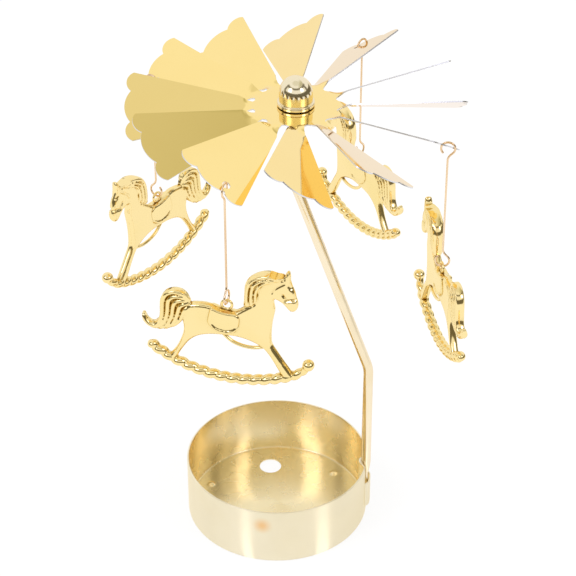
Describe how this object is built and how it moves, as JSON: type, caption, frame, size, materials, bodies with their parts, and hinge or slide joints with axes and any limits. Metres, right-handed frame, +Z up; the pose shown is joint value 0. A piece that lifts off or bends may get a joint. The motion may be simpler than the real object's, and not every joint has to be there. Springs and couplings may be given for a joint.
{
  "type": "rotating tealight carousel",
  "caption": "Tealight cup with a bent arm that carries a bladed fan wheel on its point; hot air turns the wheel and the rocking-horse charms hung from it.",
  "frame": {"origin": "middle of the cup's underside, on the table", "axes": "+Z up; +X from the cup's axis to the upright foot of the arm; +Y completes the right-handed frame"},
  "size_m": [0.1149, 0.1179, 0.1625],
  "materials": {
    "cup": "satin, gold-coloured plating",
    "arm": "satin, gold-coloured plating",
    "fan": "mirror-polished gold-coloured plating",
    "cap": "polished gold-coloured plating",
    "wire": "drawn wire, rose-gold tone",
    "horse": "bright gold-coloured plating"
  },
  "bodies": {
    "stand": {"cup": "cup", "arm": "arm"},
    "rotor": {"fan_wheel": "fan", "bearing_cap": "cap"},
    "hanger_body_1": {"hanger_1": "wire"},
    "horse_body_1": {"rocking_horse_1": "horse"},
    "hanger_body_2": {"hanger_2": "wire"},
    "horse_body_2": {"rocking_horse_2": "horse"},
    "hanger_body_3": {"hanger_3": "wire"},
    "horse_body_3": {"rocking_horse_3": "horse"},
    "hanger_body_4": {"hanger_4": "wire"},
    "horse_body_4": {"rocking_horse_4": "horse"}
  },
  "joints": [
    {"name": "rotor_spin", "type": "hinge", "parent": "stand", "child": "rotor", "pos_m": [0.00594, 0, 0.153], "axis": [0, 0, 1], "continuous": true},
    {"name": "hanger_1_swing", "type": "hinge", "parent": "rotor", "child": "hanger_body_1", "pos_m": [-0.00939, -0.04544, 0.15055], "axis": [0.978, -0.2087, 0], "range_deg": [-20, 10]},
    {"name": "horse_1_rock", "type": "hinge", "parent": "hanger_body_1", "child": "horse_body_1", "pos_m": [-0.00939, -0.04544, 0.11209], "axis": [-0.0915, -0.9958, 0], "range_deg": [-20, 20]},
    {"name": "hanger_2_swing", "type": "hinge", "parent": "rotor", "child": "hanger_body_2", "pos_m": [-0.03983, 0.01587, 0.15078], "axis": [-0.436, -0.8999, 0], "range_deg": [-20, 10]},
    {"name": "horse_2_rock", "type": "hinge", "parent": "hanger_body_2", "child": "horse_body_2", "pos_m": [-0.03983, 0.01587, 0.10952], "axis": [-0.8401, 0.5424, 0], "range_deg": [-20, 20]},
    {"name": "hanger_3_swing", "type": "hinge", "parent": "rotor", "child": "hanger_body_3", "pos_m": [0.02241, 0.04597, 0.15108], "axis": [-0.8028, 0.5962, 0], "range_deg": [-20, 10]},
    {"name": "horse_3_rock", "type": "hinge", "parent": "hanger_body_3", "child": "horse_body_3", "pos_m": [0.02241, 0.04597, 0.11075], "axis": [0.8126, 0.5828, 0], "range_deg": [-20, 20]},
    {"name": "hanger_4_swing", "type": "hinge", "parent": "rotor", "child": "hanger_body_4", "pos_m": [0.05162, -0.01505, 0.15032], "axis": [0.0104, 0.9999, 0], "range_deg": [-20, 10]},
    {"name": "horse_4_rock", "type": "hinge", "parent": "hanger_body_4", "child": "horse_body_4", "pos_m": [0.05162, -0.01505, 0.10937], "axis": [0.9529, 0.3032, 0], "range_deg": [-20, 20]}
  ]
}
